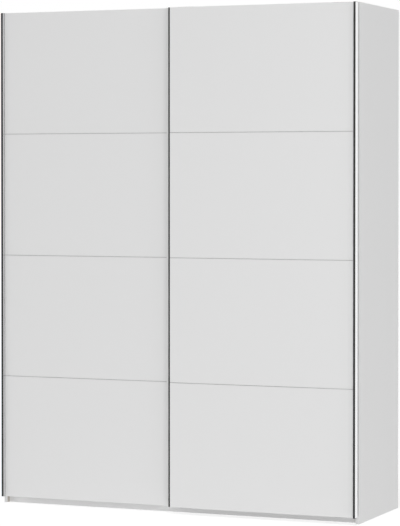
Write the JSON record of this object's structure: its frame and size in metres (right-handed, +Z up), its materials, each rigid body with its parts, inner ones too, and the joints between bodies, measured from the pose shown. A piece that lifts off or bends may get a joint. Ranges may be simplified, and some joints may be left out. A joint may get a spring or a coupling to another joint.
{
  "type": "sliding door wardrobe",
  "caption": "Tall white wardrobe with two overlapping top-hung sliding doors of stacked panels with aluminium grip profiles, a centre wall, hat shelves and clothes rails.",
  "frame": {"origin": "on the floor, below the centre of the bounding box", "axes": "+Z up, +X along the front to the right as seen by a person facing the doors, +Y towards the wall"},
  "size_m": [1.81, 0.62, 2.3565],
  "materials": {
    "white_board": "white melamine on chipboard, satin",
    "linen_board": "linen-effect melamine on chipboard, matt",
    "linen_hardboard": "linen-effect foil on hardboard, matt",
    "white_plastic": "extruded white plastic",
    "aluminium": "satin anodised extrusion",
    "joint_strip": "satin extrusion, recessed",
    "steel": "zinc-plated or brushed",
    "hanger_steel": "zinc-plated sheet",
    "screw_zinc": "zinc-plated, flat-headed",
    "stop_rubber": "soft black rubber",
    "glide_plastic": "moulded",
    "cap_plastic": "moulded, grey",
    "brush_pile": "short grey pile",
    "guide_nylon": "moulded nylon",
    "wheel_nylon": "moulded nylon"
  },
  "bodies": {
    "carcass": {"side_panel_left": "white_board", "side_panel_right": "white_board", "centre_partition": "linen_board", "top_panel": "linen_board", "bottom_panel": "linen_board", "plinth_front": "white_board", "plinth_rear": "white_board", "back_panel_left": "linen_hardboard", "back_panel_right": "linen_hardboard", "back_joint_strip": "white_plastic", "hat_shelf_left": "linen_board", "hat_shelf_right": "linen_board", "clothes_rail_left": "steel", "clothes_rail_right": "steel", "rail_sockets": "steel", "shelf_pins": "steel", "running_rail": "aluminium", "end_stops": "stop_rubber", "guide_channel": "aluminium", "cam_fittings": "steel", "floor_glides": "glide_plastic", "wall_brackets": "steel", "carcass_screws": "screw_zinc"},
    "rear_door": {"rear_door_panel_1": "white_board", "rear_door_panel_2": "white_board", "rear_door_panel_3": "white_board", "rear_door_panel_4": "white_board", "rear_door_grip": "aluminium", "rear_door_end_caps": "cap_plastic", "rear_door_stile": "aluminium", "rear_door_joint_strips": "joint_strip", "rear_door_top_rail": "aluminium", "rear_door_bottom_rail": "aluminium", "rear_door_hangers": "hanger_steel", "rear_door_guides": "guide_nylon", "rear_door_screws": "screw_zinc", "rear_door_brush": "brush_pile"},
    "rear_wheel_left": {"rear_wheel_left": "wheel_nylon"},
    "rear_wheel_right": {"rear_wheel_right": "wheel_nylon"},
    "front_door": {"front_door_panel_1": "white_board", "front_door_panel_2": "white_board", "front_door_panel_3": "white_board", "front_door_panel_4": "white_board", "front_door_grip": "aluminium", "front_door_end_caps": "cap_plastic", "front_door_stile": "aluminium", "front_door_joint_strips": "joint_strip", "front_door_top_rail": "aluminium", "front_door_bottom_rail": "aluminium", "front_door_hanger_plates": "hanger_steel", "front_door_hanger_arms": "hanger_steel", "front_door_wheel_carriers": "hanger_steel", "front_door_guide_plates": "hanger_steel", "front_door_guide_arms": "hanger_steel", "front_door_guide_shoes": "guide_nylon", "front_door_screws": "screw_zinc"},
    "front_wheel_left": {"front_wheel_left": "wheel_nylon"},
    "front_wheel_right": {"front_wheel_right": "wheel_nylon"}
  },
  "joints": [
    {"name": "rear_door_slide", "type": "slide", "parent": "carcass", "child": "rear_door", "axis": [1, 0, 0], "range_m": [0, 0.85]},
    {"name": "front_door_slide", "type": "slide", "parent": "carcass", "child": "front_door", "axis": [1, 0, 0], "range_m": [-0.85, 0]},
    {"name": "rear_wheel_left_spin", "type": "hinge", "parent": "rear_door", "child": "rear_wheel_left", "pos_m": [-0.823, -0.224, 2.3383], "axis": [0, 1, 0], "continuous": true},
    {"name": "rear_wheel_right_spin", "type": "hinge", "parent": "rear_door", "child": "rear_wheel_right", "pos_m": [-0.061, -0.224, 2.3383], "axis": [0, 1, 0], "continuous": true},
    {"name": "front_wheel_left_spin", "type": "hinge", "parent": "front_door", "child": "front_wheel_left", "pos_m": [0.061, -0.194, 2.3383], "axis": [0, 1, 0], "continuous": true},
    {"name": "front_wheel_right_spin", "type": "hinge", "parent": "front_door", "child": "front_wheel_right", "pos_m": [0.823, -0.194, 2.3383], "axis": [0, 1, 0], "continuous": true}
  ],
  "couplings": [
    {"joint": "rear_wheel_left_spin", "follows": "rear_door_slide", "rad_per_m": 83.333},
    {"joint": "rear_wheel_right_spin", "follows": "rear_door_slide", "rad_per_m": 83.333},
    {"joint": "front_wheel_left_spin", "follows": "front_door_slide", "rad_per_m": 83.333},
    {"joint": "front_wheel_right_spin", "follows": "front_door_slide", "rad_per_m": 83.333}
  ]
}
